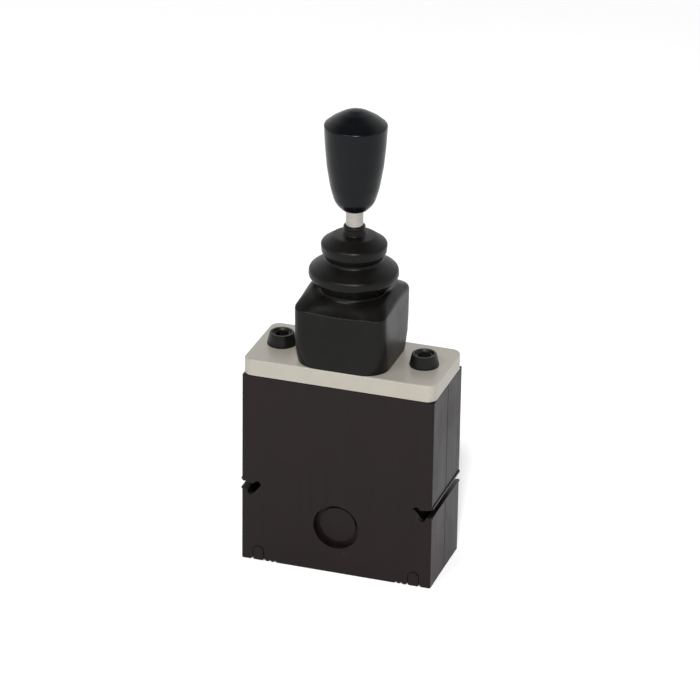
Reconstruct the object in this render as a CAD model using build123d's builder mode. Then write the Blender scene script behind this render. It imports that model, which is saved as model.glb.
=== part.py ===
from build123d import *
import os

# Hydraulic pilot joystick valve with one lever axis, in millimetres.
# +Z is up, X runs along the wide side and Y from front (-) to rear (+).
# The origin is on the floor, at the middle of the casing.

os.makedirs("parts", exist_ok=True)

# ---------------------------------------------------------------- fits
running_fit = 0.02        # shaft to bore, on the radius
drill_overrun = 1.0
seat_fit = 0.05           # pushed-in piece to its seat, on the radius
loose_fit = 0.2           # moulding to block
shadow_gap = 0.4          # open line between the casing and the flange plate

# ---------------------------------------------------------------- casing
body_width = 90.0
body_depth = 42.0
body_height = 92.4        # floor to the underside of the flange plate
casing_wall = 2.5
corner_radius = 0.8
seam_chamfer = 0.35
chamber_height = 36.2     # open hose chamber under the valve block
block_step = 5.8          # height of the narrow foot of the valve block
block_foot_inset = 9.6    # foot of the block to the casing's end
ledge_thickness = 1.6
ledge_reach = 5.0
pillar_radius = 4.2
pillar_inset = 6.4        # from the casing's end
lower_pillar_height = 22.0
pillar_over_plug = 1.1
casing_screw_radius = 1.45
casing_screw_length = 30.0
casing_screw_head = 2.8
casing_screw_head_height = 2.0
casing_screw_sink = 0.2

# Hooked slots at both ends, cut through the full depth
hook_slot_radius = 1.7
hook_mouth_drop = 0.4
hook_top_inset = 7.4      # from the casing's end
hook_bottom_inset = 4.4
hook_drop = 3.6
hook_roof = 0.6           # under the ledge
mouth_height = 3.8
lip_rise = 0.45
lip_height = 1.0

# Round side outlet, closed by a sunk blank
outlet_radius = 10.7
outlet_height = 23.0
outlet_rim = 1.9
outlet_rim_depth = 2.6
blank_disc_radius = 8.4
blank_disc_depth = 2.8
blank_plug_thickness = 1.0
blank_lip = 1.4
blank_lip_thickness = 1.0

# Thin arched break-out outlines and small nicks along the bottom edge
arch_inset = 8.0          # from the casing's end
arch_half_width = 2.9
arch_height = 7.2
arch_line = 0.55
arch_line_depth = 0.7
nick_radius = 0.7
nick_insets = (16.1, 13.7)

# ---------------------------------------------------------------- flange plate
plate_thickness = 7.8
plate_corner_radius = 4.5
plate_edge_radius = 1.0
flange_screw_inset = 11.5   # screw axis from the end of the plate
flange_screw_radius = 4.0
flange_screw_clearance = 0.5
flange_screw_core = 3.4
flange_screw_engagement = 18.0
flange_head_base = 6.65
flange_head_top = 5.6
flange_head_height = 5.6
flange_head_dish = 4.5
flange_head_dish_depth = 0.9
flange_socket = 6.0
flange_socket_depth = 3.6

# ---------------------------------------------------------------- valve elements
element_offset = 10.7     # each plunger axis from the middle
plunger_radius = 3.5
plunger_lift = 5.7        # plunger tip above the flange plate
plunger_travel_room = 4.4
plunger_collar_radius = 6.5
plunger_collar_thickness = 2.4
plunger_hollow_radius = 2.3
plunger_hollow_depth = 9.0
guide_radius = 5.4
guide_rise = 1.5
guide_flange_radius = 9.0
guide_flange_thickness = 6.0
ring_seal_section = 0.7
ring_seal_groove = 1.6
wiper_depth = 1.2
wiper_height = 2.4
wiper_cover = 1.3
seat_radius = 6.7
seat_thickness = 1.5
spring_room_radius = 7.5
spring_room_depth = 16.1  # below the spring seat
return_spring_radius = 5.9
return_spring_wire = 0.75
return_spring_turns = 4.5
metering_spring_radius = 3.35
metering_spring_wire = 0.5
metering_spring_turns = 4.5
spool_radius = 3.5
spool_stem_radius = 1.4
spool_head_radius = 2.0
spool_head_height = 1.5
spool_slack = 2.7         # free lift of the spool head above the spring seat
spool_collar_radius = 4.2
spool_collar_thickness = 1.6
spool_collar_lift = 1.4
spool_waist_radius = 2.6
spool_waist_height = 4.5
spool_bore_radius = 1.5
spool_end_gap = 1.6

# ---------------------------------------------------------------- ports
port_radius = 4.3         # core of the port thread
port_depth = 9.0
port_face_radius = 7.5
port_face_depth = 0.8
outer_port_offset = 27.0
gallery_radius = 2.0
riser_overrun = 0.4
riser_radius = 2.6
pressure_gallery_rise = 4.8   # above the port ends
tank_gallery_rise = 12.0
gallery_plug_radius = 3.5
gallery_plug_length = 5.0

# ---------------------------------------------------------------- lever
pivot_rise = 12.8         # pivot axis above the flange plate
pin_radius = 3.0
pin_groove_depth = 0.6
pin_end = 1.2
clip_radius = 4.6
clip_thickness = 0.7
bracket_base = 3.0
bracket_length = 28.0
bracket_width = 29.0
bracket_corner = 4.0
bracket_relief = 0.4
cheek_thickness = 3.0
cheek_gap = 22.0
cheek_radius = 6.8
bush_wall = 1.1
bush_flange = 0.8
bush_flange_wall = 2.2
bracket_screw_x = 11.2
bracket_screw_y = 11.4
bracket_screw_radius = 1.65
bracket_screw_head = 2.6
bracket_screw_head_height = 2.4
bracket_screw_depth = 5.0
hub_radius = 6.4
hub_gap = 0.1
arm_length = 14.6
arm_width = 9.0
arm_height = 5.0
arm_drop = 1.6            # underside of the arms below the pivot axis
socket_radius = 6.8
socket_rise = 12.5
tappet_ball = 2.6
tappet_shank = 2.0
tappet_stand = 1.6
tappet_nut_size = 3.6
tappet_nut_height = 2.0
tappet_gap = 0.1
rod_radius = 3.9
rod_thread_radius = 3.2
rod_thread_depth = 9.0
lock_nut_size = 6.6
lock_nut_height = 4.0

# ---------------------------------------------------------------- knob
knob_base = 68.4          # underside of the knob above the flange plate
knob_height = 49.3
knob_foot_radius = 4.5
knob_cup_radius = 7.4
knob_cup_rise = 3.6
knob_grip_radius = 9.4
knob_grip_rise = 8.2
knob_belly_radius = 12.3
knob_belly_rise = 22.4
knob_radius = 13.9
knob_dome = 6.6
knob_rim_radius = 0.9
insert_radius = 5.2
insert_length = 15.0
insert_start = 3.0
stud_length = 14.0
thread_end_room = 0.5

# ---------------------------------------------------------------- boot
boot_size = 41.4
boot_wall = 2.0
boot_foot_corner = 10.8
boot_heel_corner = 6.4     # a little above the foot
boot_heel_rise = 8.0
boot_top_corner = 5.0
boot_straight = 26.4      # straight sides above the flange plate
boot_brow_size = 38.8     # shoulder half way to the throat
boot_brow_corner = 8.0
boot_brow_rise = 30.8
boot_throat_radius = 17.0
boot_throat_rise = 33.8
nearly_round = 0.99       # corner share of the throat's half width
lower_ring_tip = 20.8     # before its edge is rounded
lower_ring_edge = 2.4
lower_ring_rise = 40.7
waist_radius = 12.0
waist_rise = 46.8
upper_ring_tip = 15.3
upper_ring_edge = 2.0
upper_ring_step = 7.1     # upper ring above the waist
neck_step = 4.3           # neck root above the upper ring
boot_neck_radius = 4.7
boot_lip_radius = 5.1
boot_lip_height = 2.0
boot_neck_height = 4.1    # neck end above its root
upstand_height = 4.0
upstand_wall = 1.5

# ---------------------------------------------------------------- worked-out places
half_depth = body_depth / 2
half_width = body_width / 2
upper_ring_rise = waist_rise + upper_ring_step
neck_rise = upper_ring_rise + neck_step
boot_top = neck_rise + boot_neck_height
plate_top = body_height + plate_thickness
casing_height = body_height - shadow_gap
cavity_width = body_width - 2 * casing_wall
inner_face = half_depth - casing_wall
block_width = cavity_width - 2 * loose_fit
block_depth = 2 * (inner_face - loose_fit)
step_top = chamber_height + block_step
ledge_bottom = step_top - ledge_thickness
pillar_x = half_width - pillar_inset
block_foot_width = body_width - 2 * block_foot_inset
hook_top_x = half_width - hook_top_inset
hook_bottom_x = half_width - hook_bottom_inset
arch_centre = half_width - arch_inset
hook_top = ledge_bottom - hook_roof - hook_slot_radius
guide_bottom = body_height - guide_flange_thickness
collar_top = guide_bottom - plunger_travel_room
collar_bottom = collar_top - plunger_collar_thickness
seat_bottom = collar_bottom - seat_thickness
spring_floor = seat_bottom - spring_room_depth
port_top = chamber_height + port_depth
pressure_gallery = port_top + pressure_gallery_rise
tank_gallery = port_top + tank_gallery_rise
upper_pillar_height = tank_gallery + gallery_plug_radius + pillar_radius + pillar_over_plug
plunger_top = plate_top + plunger_lift
pivot_height = plate_top + pivot_rise
cheek_inner = cheek_gap / 2
cheek_outer = cheek_inner + cheek_thickness
bush_radius = pin_radius + running_fit + bush_wall
hub_half = cheek_inner - bush_flange - hub_gap
socket_top = pivot_height + socket_rise
knob_bottom = plate_top + knob_base
knob_top = knob_bottom + knob_height
flange_screw_x = half_width - flange_screw_inset
boot_end = plate_top + boot_top
boot_inner = boot_size - 2 * boot_wall
throat_height = plate_top + boot_throat_rise
lower_ring_height = plate_top + lower_ring_rise
waist_height = plate_top + waist_rise
upper_ring_height = plate_top + upper_ring_rise
neck_root = plate_top + neck_rise
sides = (("left", -1), ("right", 1))


def save(piece, label):
    """Name a finished piece and write it."""
    piece.part.label = label
    export_step(piece.part, f"parts/{label}.step")


def turn(points, x=0.0, mode=Mode.ADD):
    """Revolve an outline of (radius, height) points about the upright axis at x."""
    with BuildSketch(Plane((x, 0, 0), x_dir=(1, 0, 0), z_dir=(0, -1, 0))) as outline:
        with BuildLine():
            Polyline(*points, close=True)
        make_face()
    revolve(outline.sketch, axis=Axis((x, 0, 0), (0, 0, 1)), mode=mode)


def bar(x, y, radius, start, end, mode=Mode.ADD):
    """Add or cut an upright cylinder between two heights."""
    with BuildSketch(Plane.XY.offset(start)) as section:
        with Locations((x, y)):
            Circle(radius)
    extrude(section.sketch, amount=end - start, mode=mode)


def cross_bar(x, z, radius, start, end, mode=Mode.ADD):
    """Add or cut a cylinder along Y between two depths."""
    with BuildSketch(Plane.XZ.offset(-start)) as section:
        with Locations((x, z)):
            Circle(radius)
    extrude(section.sketch, amount=start - end, mode=mode)


def spring(x, bottom, top, radius, wire, turns, label):
    """A coil spring of round wire between two seats."""
    rise = top - bottom - 2 * wire - 2 * running_fit
    with BuildPart() as coil:
        with BuildLine(Plane((x, 0, bottom + wire + running_fit))):
            helix = Helix(pitch=rise / turns, height=rise, radius=radius)
        with BuildSketch(Plane(origin=helix @ 0, z_dir=helix % 0)):
            Circle(wire)
        sweep(is_frenet=True)
    save(coil, label)


# ---------------------------------------------------------------- casing halves
def hook_slots():
    """Section of the hooked slots at both ends of the casing."""
    with BuildSketch(Plane.XZ) as slots:
        for end in (-1, 1):
            mouth_top = hook_top + hook_slot_radius - hook_mouth_drop
            with BuildLine():
                Polyline(
                    (end * (half_width + lip_rise), mouth_top),
                    (end * hook_top_x, hook_top),
                    (end * hook_bottom_x, hook_top - hook_drop),
                    (end * (half_width + lip_rise), mouth_top - mouth_height),
                    close=True,
                )
            make_face()
            with BuildLine():
                Line((end * hook_top_x, hook_top), (end * hook_bottom_x, hook_top - hook_drop))
            trace(line_width=2 * hook_slot_radius)
            for x, z in ((hook_top_x, hook_top), (hook_bottom_x, hook_top - hook_drop)):
                with Locations((end * x, z)):
                    Circle(hook_slot_radius)
    return slots.sketch


def arch_outlines():
    """Thin arched lines of the two break-outs at the bottom edge."""
    with BuildSketch(Plane.XZ.offset(half_depth - arch_line_depth)) as arches:
        for end in (-1, 1):
            with Locations((end * arch_centre, 0)):
                SlotOverall(2 * arch_height, 2 * arch_half_width, rotation=90)
                SlotOverall(
                    2 * (arch_height - arch_line),
                    2 * (arch_half_width - arch_line),
                    rotation=90,
                    mode=Mode.SUBTRACT,
                )
    return arches.sketch


def casing_half(facing):
    """One moulded half of the casing: facing is -1 for the front half and 1 for the rear half."""
    with BuildPart() as half:
        with BuildSketch(Plane.XY):
            with Locations((0, facing * half_depth / 2)):
                Rectangle(body_width, half_depth)
        extrude(amount=casing_height)
        upright = half.edges().filter_by(Axis.Z)
        chamfer(upright.group_by(Axis.Y)[0 if facing > 0 else -1], seam_chamfer)
        outer = half.edges().filter_by(Axis.Z).group_by(Axis.Y)[-1 if facing > 0 else 0]
        fillet(outer, corner_radius)
        with BuildSketch(Plane.XY):
            with Locations((0, facing * inner_face / 2)):
                Rectangle(cavity_width, inner_face)
        extrude(amount=casing_height, mode=Mode.SUBTRACT)
        with BuildSketch(Plane.XY.offset(ledge_bottom)):
            for end in (-1, 1):
                with Locations((end * (cavity_width - ledge_reach) / 2, facing * inner_face / 2)):
                    Rectangle(ledge_reach, inner_face)
        extrude(amount=ledge_thickness)
        lip_top = hook_top + hook_slot_radius - hook_mouth_drop + lip_height
        for low in (lip_top - lip_height, lip_top - 2 * lip_height - mouth_height):
            with BuildSketch(Plane.XY.offset(low)):
                for end in (-1, 1):
                    lip_depth = half_depth - corner_radius
                    with Locations((end * (half_width + lip_rise / 2), facing * lip_depth / 2)):
                        Rectangle(lip_rise, lip_depth)
            extrude(amount=lip_height)
        for end in (-1, 1):
            for height in (lower_pillar_height, upper_pillar_height):
                cross_bar(end * pillar_x, height, pillar_radius, 0, facing * inner_face)
        with BuildSketch(Plane.XY):
            with Locations((0, facing * half_depth / 2)):
                Rectangle(body_width + 2 * lip_rise, half_depth)
        extrude(amount=casing_height, mode=Mode.INTERSECT)
        extrude(hook_slots(), amount=body_depth, both=True, mode=Mode.SUBTRACT)
        for end in (-1, 1):
            for height in (lower_pillar_height, upper_pillar_height):
                x = end * pillar_x
                if facing < 0:
                    depth = casing_screw_length + casing_screw_head_height - half_depth + drill_overrun
                    cross_bar(x, height, casing_screw_radius + running_fit, 0, -depth, Mode.SUBTRACT)
                else:
                    sink = half_depth - casing_screw_head_height
                    cross_bar(x, height, casing_screw_radius + loose_fit, 0, half_depth, Mode.SUBTRACT)
                    cross_bar(x, height, casing_screw_head + loose_fit, sink, half_depth, Mode.SUBTRACT)
        face = facing * half_depth
        with BuildSketch(Plane.XZ):
            nicks = [half_width - inset for inset in nick_insets]
            for x in (*nicks, arch_centre - arch_half_width, arch_centre + arch_half_width):
                with Locations((-x, 0), (x, 0)):
                    Circle(nick_radius)
        extrude(amount=-face, mode=Mode.SUBTRACT)
        if facing < 0:
            rim_end = outlet_rim_depth - inner_face
            cross_bar(0, outlet_height, outlet_radius + outlet_rim, -inner_face, rim_end)
            cross_bar(0, outlet_height, outlet_radius, face, rim_end, Mode.SUBTRACT)
            extrude(arch_outlines(), amount=arch_line_depth, mode=Mode.SUBTRACT)
    return half


front_casing = casing_half(-1)
save(front_casing, "front_casing")
rear_casing = casing_half(1)
save(rear_casing, "rear_casing")

for number, (x, z) in enumerate(
    (end * pillar_x, height) for height in (lower_pillar_height, upper_pillar_height) for end in (-1, 1)
):
    with BuildPart() as casing_screw:
        seat = half_depth - casing_screw_head_height
        cross_bar(x, z, casing_screw_radius, seat - casing_screw_length, seat)
        cross_bar(x, z, casing_screw_head, seat, half_depth - casing_screw_sink)
        with BuildSketch(Plane.XZ.offset(-half_depth)):
            with Locations((x, z)):
                RegularPolygon(casing_screw_radius, 6)
        extrude(amount=casing_screw_head_height * 0.7, mode=Mode.SUBTRACT)
    save(casing_screw, f"casing_screw_{number + 1}")

with BuildPart() as outlet_blank:
    disc_face = blank_disc_depth - half_depth
    plug_back = outlet_rim_depth - inner_face
    plug_front = plug_back - blank_plug_thickness
    cross_bar(0, outlet_height, blank_disc_radius, disc_face, plug_front)
    cross_bar(0, outlet_height, outlet_radius - seat_fit, plug_front, plug_back)
    cross_bar(0, outlet_height, outlet_radius + blank_lip, plug_back, plug_back + blank_lip_thickness)
save(outlet_blank, "outlet_blank")

# ---------------------------------------------------------------- valve block
with BuildPart() as valve_block:
    with BuildSketch(Plane.XY.offset(step_top)):
        Rectangle(block_width, block_depth)
    extrude(amount=body_height - step_top)
    with BuildSketch(Plane.XY.offset(chamber_height)):
        Rectangle(block_foot_width, block_depth)
    extrude(amount=block_step)
    groove = pillar_radius + loose_fit
    for end in (-1, 1):
        cross_bar(end * pillar_x, upper_pillar_height, groove, -half_depth, half_depth, Mode.SUBTRACT)
        bar(
            end * flange_screw_x,
            0,
            flange_screw_core + running_fit,
            body_height - flange_screw_engagement - 2,
            body_height,
            Mode.SUBTRACT,
        )
        element = end * element_offset
        bar(element, 0, guide_flange_radius + seat_fit, guide_bottom, body_height, Mode.SUBTRACT)
        bar(element, 0, spring_room_radius, spring_floor, guide_bottom, Mode.SUBTRACT)
        bar(element, 0, spool_radius + running_fit, port_top, spring_floor, Mode.SUBTRACT)
        for x in (element, end * outer_port_offset):
            bar(x, 0, port_radius, chamber_height, port_top, Mode.SUBTRACT)
            bar(x, 0, port_face_radius, chamber_height, chamber_height + port_face_depth, Mode.SUBTRACT)
    for end, height in ((-1, pressure_gallery), (1, tank_gallery)):
        riser_top = height + gallery_radius + riser_overrun
        bar(end * outer_port_offset, 0, riser_radius, port_top, riser_top, Mode.SUBTRACT)
        plug_seat = block_width / 2 - gallery_plug_length
        with BuildSketch(Plane.YZ.offset(end * plug_seat)) as gallery:
            with Locations((0, height)):
                Circle(gallery_radius)
        extrude(gallery.sketch, amount=-end * (plug_seat + element_offset), mode=Mode.SUBTRACT)
        with BuildSketch(Plane.YZ.offset(end * plug_seat)) as plug_hole:
            with Locations((0, height)):
                Circle(gallery_plug_radius + running_fit)
        extrude(plug_hole.sketch, amount=end * gallery_plug_length, mode=Mode.SUBTRACT)
save(valve_block, "valve_block")

for name, end, height in (("pressure", -1, pressure_gallery), ("tank", 1, tank_gallery)):
    with BuildPart() as gallery_plug:
        with BuildSketch(Plane.YZ.offset(end * (block_width / 2 - gallery_plug_length))):
            with Locations((0, height)):
                Circle(gallery_plug_radius)
        extrude(amount=end * gallery_plug_length)
        with BuildSketch(Plane.YZ.offset(end * block_width / 2)):
            with Locations((0, height)):
                RegularPolygon(gallery_plug_radius / 2, 6)
        extrude(amount=-end * gallery_plug_length / 2, mode=Mode.SUBTRACT)
    save(gallery_plug, f"{name}_gallery_plug")

# ---------------------------------------------------------------- flange plate and its screws
with BuildPart() as mounting_plate:
    with BuildSketch(Plane.XY.offset(body_height)):
        RectangleRounded(body_width, body_depth, plate_corner_radius)
    extrude(amount=plate_thickness)
    fillet(mounting_plate.faces().sort_by(Axis.Z)[-1].edges(), plate_edge_radius)
    with BuildSketch(Plane.XY.offset(plate_top)) as upstand:
        outside = boot_inner - 2 * seat_fit
        inside = outside - 2 * upstand_wall
        RectangleRounded(outside, outside, boot_foot_corner - boot_wall)
        RectangleRounded(inside, inside, boot_foot_corner - boot_wall - upstand_wall, mode=Mode.SUBTRACT)
    extrude(amount=upstand_height)
    for end in (-1, 1):
        bar(
            end * flange_screw_x,
            0,
            flange_screw_radius + flange_screw_clearance,
            body_height,
            plate_top,
            Mode.SUBTRACT,
        )
        bar(end * element_offset, 0, guide_radius + seat_fit, body_height, plate_top, Mode.SUBTRACT)
    for x in (-bracket_screw_x, bracket_screw_x):
        for y in (-bracket_screw_y, bracket_screw_y):
            bar(
                x,
                y,
                bracket_screw_radius + running_fit,
                plate_top - bracket_screw_depth - drill_overrun,
                plate_top,
                Mode.SUBTRACT,
            )
save(mounting_plate, "mounting_plate")

for side, end in sides:
    with BuildPart() as flange_screw:
        head_top = plate_top + flange_head_height
        turn(
            [
                (0, body_height - flange_screw_engagement),
                (flange_screw_core, body_height - flange_screw_engagement),
                (flange_screw_core, body_height),
                (flange_screw_radius, body_height),
                (flange_screw_radius, plate_top),
                (flange_head_base, plate_top),
                (flange_head_base, plate_top + 0.8),
                (flange_head_top, head_top - 0.3),
                (flange_head_top - 0.3, head_top),
                (flange_head_dish, head_top),
                (flange_head_dish - 0.5, head_top - flange_head_dish_depth),
                (0, head_top - flange_head_dish_depth),
            ],
            end * flange_screw_x,
        )
        with BuildSketch(Plane.XY.offset(head_top)):
            with Locations((end * flange_screw_x, 0)):
                RegularPolygon(flange_socket / 2, 6, major_radius=False)
        extrude(amount=-flange_socket_depth, mode=Mode.SUBTRACT)
    save(flange_screw, f"flange_screw_{side}")

# ---------------------------------------------------------------- guides, plungers, springs and spools
guide_top = plate_top + guide_rise
wiper_top = guide_top - wiper_cover
ring_middle = body_height - guide_flange_thickness / 2
for side, end in sides:
    x = end * element_offset
    with BuildPart() as guide:
        turn(
            [
                (plunger_radius + running_fit, guide_bottom),
                (guide_flange_radius, guide_bottom),
                (guide_flange_radius, ring_middle - ring_seal_groove / 2),
                (guide_flange_radius - 2 * ring_seal_section, ring_middle - ring_seal_groove / 2),
                (guide_flange_radius - 2 * ring_seal_section, ring_middle + ring_seal_groove / 2),
                (guide_flange_radius, ring_middle + ring_seal_groove / 2),
                (guide_flange_radius, body_height),
                (guide_radius, body_height),
                (guide_radius, guide_top),
                (plunger_radius + running_fit, guide_top),
                (plunger_radius + running_fit, wiper_top),
                (plunger_radius + wiper_depth, wiper_top),
                (plunger_radius + wiper_depth, wiper_top - wiper_height),
                (plunger_radius + running_fit, wiper_top - wiper_height),
            ],
            x,
        )
    save(guide, f"guide_bush_{side}")

    with BuildPart() as ring_seal:
        with BuildSketch(Plane((x, 0, 0), x_dir=(1, 0, 0), z_dir=(0, -1, 0))):
            with Locations((guide_flange_radius + seat_fit - ring_seal_section, ring_middle)):
                Circle(ring_seal_section)
        revolve(axis=Axis((x, 0, 0), (0, 0, 1)))
    save(ring_seal, f"guide_seal_{side}")

    with BuildPart() as wiper:
        bar(x, 0, plunger_radius + wiper_depth, wiper_top - wiper_height, wiper_top)
        bar(x, 0, plunger_radius + running_fit, wiper_top - wiper_height, wiper_top, Mode.SUBTRACT)
    save(wiper, f"plunger_seal_{side}")

    with BuildPart() as plunger:
        turn(
            [
                (plunger_hollow_radius, collar_bottom),
                (plunger_collar_radius, collar_bottom),
                (plunger_collar_radius, collar_top),
                (plunger_radius, collar_top),
                (plunger_radius, plunger_top - 0.5),
                (plunger_radius - 0.5, plunger_top),
                (0, plunger_top),
                (0, collar_bottom + plunger_hollow_depth),
                (plunger_hollow_radius, collar_bottom + plunger_hollow_depth),
            ],
            x,
        )
    save(plunger, f"plunger_{side}")

    with BuildPart() as seat:
        bar(x, 0, seat_radius, seat_bottom, collar_bottom)
        bar(x, 0, spool_stem_radius + running_fit, seat_bottom, collar_bottom, Mode.SUBTRACT)
    save(seat, f"spring_seat_{side}")

    head_bottom = collar_bottom + spool_slack
    collar_under = spring_floor + spool_collar_lift
    collar_over = collar_under + spool_collar_thickness
    waist_bottom = (pressure_gallery + tank_gallery) / 2 - spool_waist_height / 2
    with BuildPart() as spool:
        turn(
            [
                (0, port_top + spool_end_gap),
                (spool_radius, port_top + spool_end_gap),
                (spool_radius, waist_bottom),
                (spool_waist_radius, waist_bottom),
                (spool_waist_radius, waist_bottom + spool_waist_height),
                (spool_radius, waist_bottom + spool_waist_height),
                (spool_radius, collar_under),
                (spool_collar_radius, collar_under),
                (spool_collar_radius, collar_over),
                (spool_stem_radius, collar_over),
                (spool_stem_radius, head_bottom),
                (spool_head_radius, head_bottom),
                (spool_head_radius, head_bottom + spool_head_height),
                (0, head_bottom + spool_head_height),
            ],
            x,
        )
        middle = waist_bottom + spool_waist_height / 2
        bar(x, 0, spool_bore_radius, port_top + spool_end_gap, middle, Mode.SUBTRACT)
        cross_bar(x, middle, spool_bore_radius / 2, -spool_radius, spool_radius, Mode.SUBTRACT)
    save(spool, f"spool_{side}")

    spring(
        x, spring_floor, seat_bottom, return_spring_radius, return_spring_wire, return_spring_turns,
        f"return_spring_{side}",
    )
    spring(
        x, collar_over, seat_bottom, metering_spring_radius, metering_spring_wire, metering_spring_turns,
        f"metering_spring_{side}",
    )

# ---------------------------------------------------------------- pivot bracket
with BuildPart() as pivot_bracket:
    with BuildSketch(Plane.XY.offset(plate_top)):
        RectangleRounded(bracket_length, bracket_width, bracket_corner)
    extrude(amount=bracket_base)
    for face in (-cheek_outer, cheek_inner):
        with BuildSketch(Plane.XZ.offset(-face)) as cheek:
            with BuildLine():
                Polyline(
                    (cheek_radius, pivot_height),
                    (cheek_radius, plate_top),
                    (-cheek_radius, plate_top),
                    (-cheek_radius, pivot_height),
                )
                CenterArc((0, pivot_height), cheek_radius, 0, 180)
            make_face()
        extrude(cheek.sketch, amount=-cheek_thickness)
    for end in (-1, 1):
        relief = guide_radius + bracket_relief
        bar(end * element_offset, 0, relief, plate_top, plate_top + bracket_base, Mode.SUBTRACT)
    for x in (-bracket_screw_x, bracket_screw_x):
        for y in (-bracket_screw_y, bracket_screw_y):
            top = plate_top + bracket_base
            bar(x, y, bracket_screw_radius + seat_fit, plate_top, top, Mode.SUBTRACT)
    cross_bar(0, pivot_height, bush_radius + running_fit, -cheek_outer, cheek_outer, Mode.SUBTRACT)
save(pivot_bracket, "pivot_bracket")

for number, (x, y) in enumerate(
    (x, y) for y in (-bracket_screw_y, bracket_screw_y) for x in (-bracket_screw_x, bracket_screw_x)
):
    with BuildPart() as bracket_screw:
        top = plate_top + bracket_base
        bar(x, y, bracket_screw_radius, plate_top - bracket_screw_depth, top)
        bar(x, y, bracket_screw_head, top, top + bracket_screw_head_height)
        with BuildSketch(Plane.XY.offset(top + bracket_screw_head_height)):
            with Locations((x, y)):
                RegularPolygon(bracket_screw_radius, 6)
        extrude(amount=-bracket_screw_head_height / 2, mode=Mode.SUBTRACT)
    save(bracket_screw, f"bracket_screw_{number + 1}")

for name, facing in (("front", -1), ("rear", 1)):
    with BuildPart() as pivot_bush:
        flange_face = facing * (cheek_inner - bush_flange)
        cross_bar(0, pivot_height, bush_radius, facing * cheek_inner, facing * cheek_outer)
        cross_bar(0, pivot_height, bush_radius + bush_flange_wall, flange_face, facing * cheek_inner)
        bore = pin_radius + running_fit
        cross_bar(0, pivot_height, bore, flange_face, facing * cheek_outer, Mode.SUBTRACT)
    save(pivot_bush, f"pivot_bush_{name}")

clip_start = cheek_outer + loose_fit
pin_half = clip_start + clip_thickness + pin_end
with BuildPart() as pivot_pin:
    cross_bar(0, pivot_height, pin_radius, -pin_half, pin_half)
    chamfer(pivot_pin.edges().filter_by(GeomType.CIRCLE), pin_groove_depth / 2)
    for start in (-clip_start - clip_thickness, clip_start):
        with BuildSketch(Plane.XZ.offset(-start)) as groove:
            with Locations((0, pivot_height)):
                Circle(pin_radius + pin_groove_depth)
                Circle(pin_radius - pin_groove_depth, mode=Mode.SUBTRACT)
        extrude(groove.sketch, amount=-clip_thickness, mode=Mode.SUBTRACT)
save(pivot_pin, "pivot_pin")

for name, facing in (("front", -1), ("rear", 1)):
    with BuildPart() as clip:
        start = min(facing * clip_start, facing * (clip_start + clip_thickness))
        with BuildSketch(Plane.XZ.offset(-start)) as ring:
            with Locations((0, pivot_height)):
                Circle(clip_radius)
                Circle(pin_radius - pin_groove_depth, mode=Mode.SUBTRACT)
            with Locations((0, pivot_height - clip_radius)):
                Rectangle(pin_radius, 2 * clip_radius, mode=Mode.SUBTRACT)
        extrude(ring.sketch, amount=-clip_thickness)
    save(clip, f"pin_clip_{name}")

# ---------------------------------------------------------------- rocker, tappets and lever
arm_bottom = pivot_height - arm_drop
arm_top = arm_bottom + arm_height
thread_bottom = socket_top - rod_thread_depth
with BuildPart() as rocker:
    cross_bar(0, pivot_height, hub_radius, -hub_half, hub_half)
    with BuildSketch(Plane.XY.offset(arm_bottom)):
        SlotOverall(2 * arm_length, arm_width)
    extrude(amount=arm_height)
    bar(0, 0, socket_radius, pivot_height, socket_top)
    cross_bar(0, pivot_height, pin_radius, -hub_half, hub_half, Mode.SUBTRACT)
    bar(0, 0, rod_thread_radius + running_fit, thread_bottom - thread_end_room, socket_top, Mode.SUBTRACT)
    for end in (-1, 1):
        bar(end * element_offset, 0, tappet_shank + running_fit, arm_bottom, arm_top, Mode.SUBTRACT)
save(rocker, "rocker")

for side, end in sides:
    x = end * element_offset
    ball_middle = plunger_top + tappet_gap + tappet_ball
    with BuildPart() as tappet:
        with Locations((x, 0, ball_middle)):
            Sphere(tappet_ball)
        bar(x, 0, tappet_shank, ball_middle, arm_top + tappet_nut_height + tappet_stand)
    save(tappet, f"tappet_{side}")
    with BuildPart() as tappet_nut:
        with BuildSketch(Plane.XY.offset(arm_top)):
            with Locations((x, 0)):
                RegularPolygon(tappet_nut_size, 6)
                Circle(tappet_shank + running_fit, mode=Mode.SUBTRACT)
        extrude(amount=tappet_nut_height)
    save(tappet_nut, f"tappet_nut_{side}")

nut_top = socket_top + lock_nut_height
with BuildPart() as lever_rod:
    turn(
        [
            (0, thread_bottom),
            (rod_thread_radius, thread_bottom),
            (rod_thread_radius, nut_top + 1.5),
            (rod_radius, nut_top + 2.2),
            (rod_radius, knob_bottom),
            (rod_thread_radius, knob_bottom),
            (rod_thread_radius, knob_bottom + stud_length),
            (0, knob_bottom + stud_length),
        ]
    )
save(lever_rod, "lever_rod")

with BuildPart() as lock_nut:
    with BuildSketch(Plane.XY.offset(socket_top)):
        RegularPolygon(lock_nut_size, 6)
        Circle(rod_thread_radius + running_fit, mode=Mode.SUBTRACT)
    extrude(amount=lock_nut_height)
save(lock_nut, "lock_nut")

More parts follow.
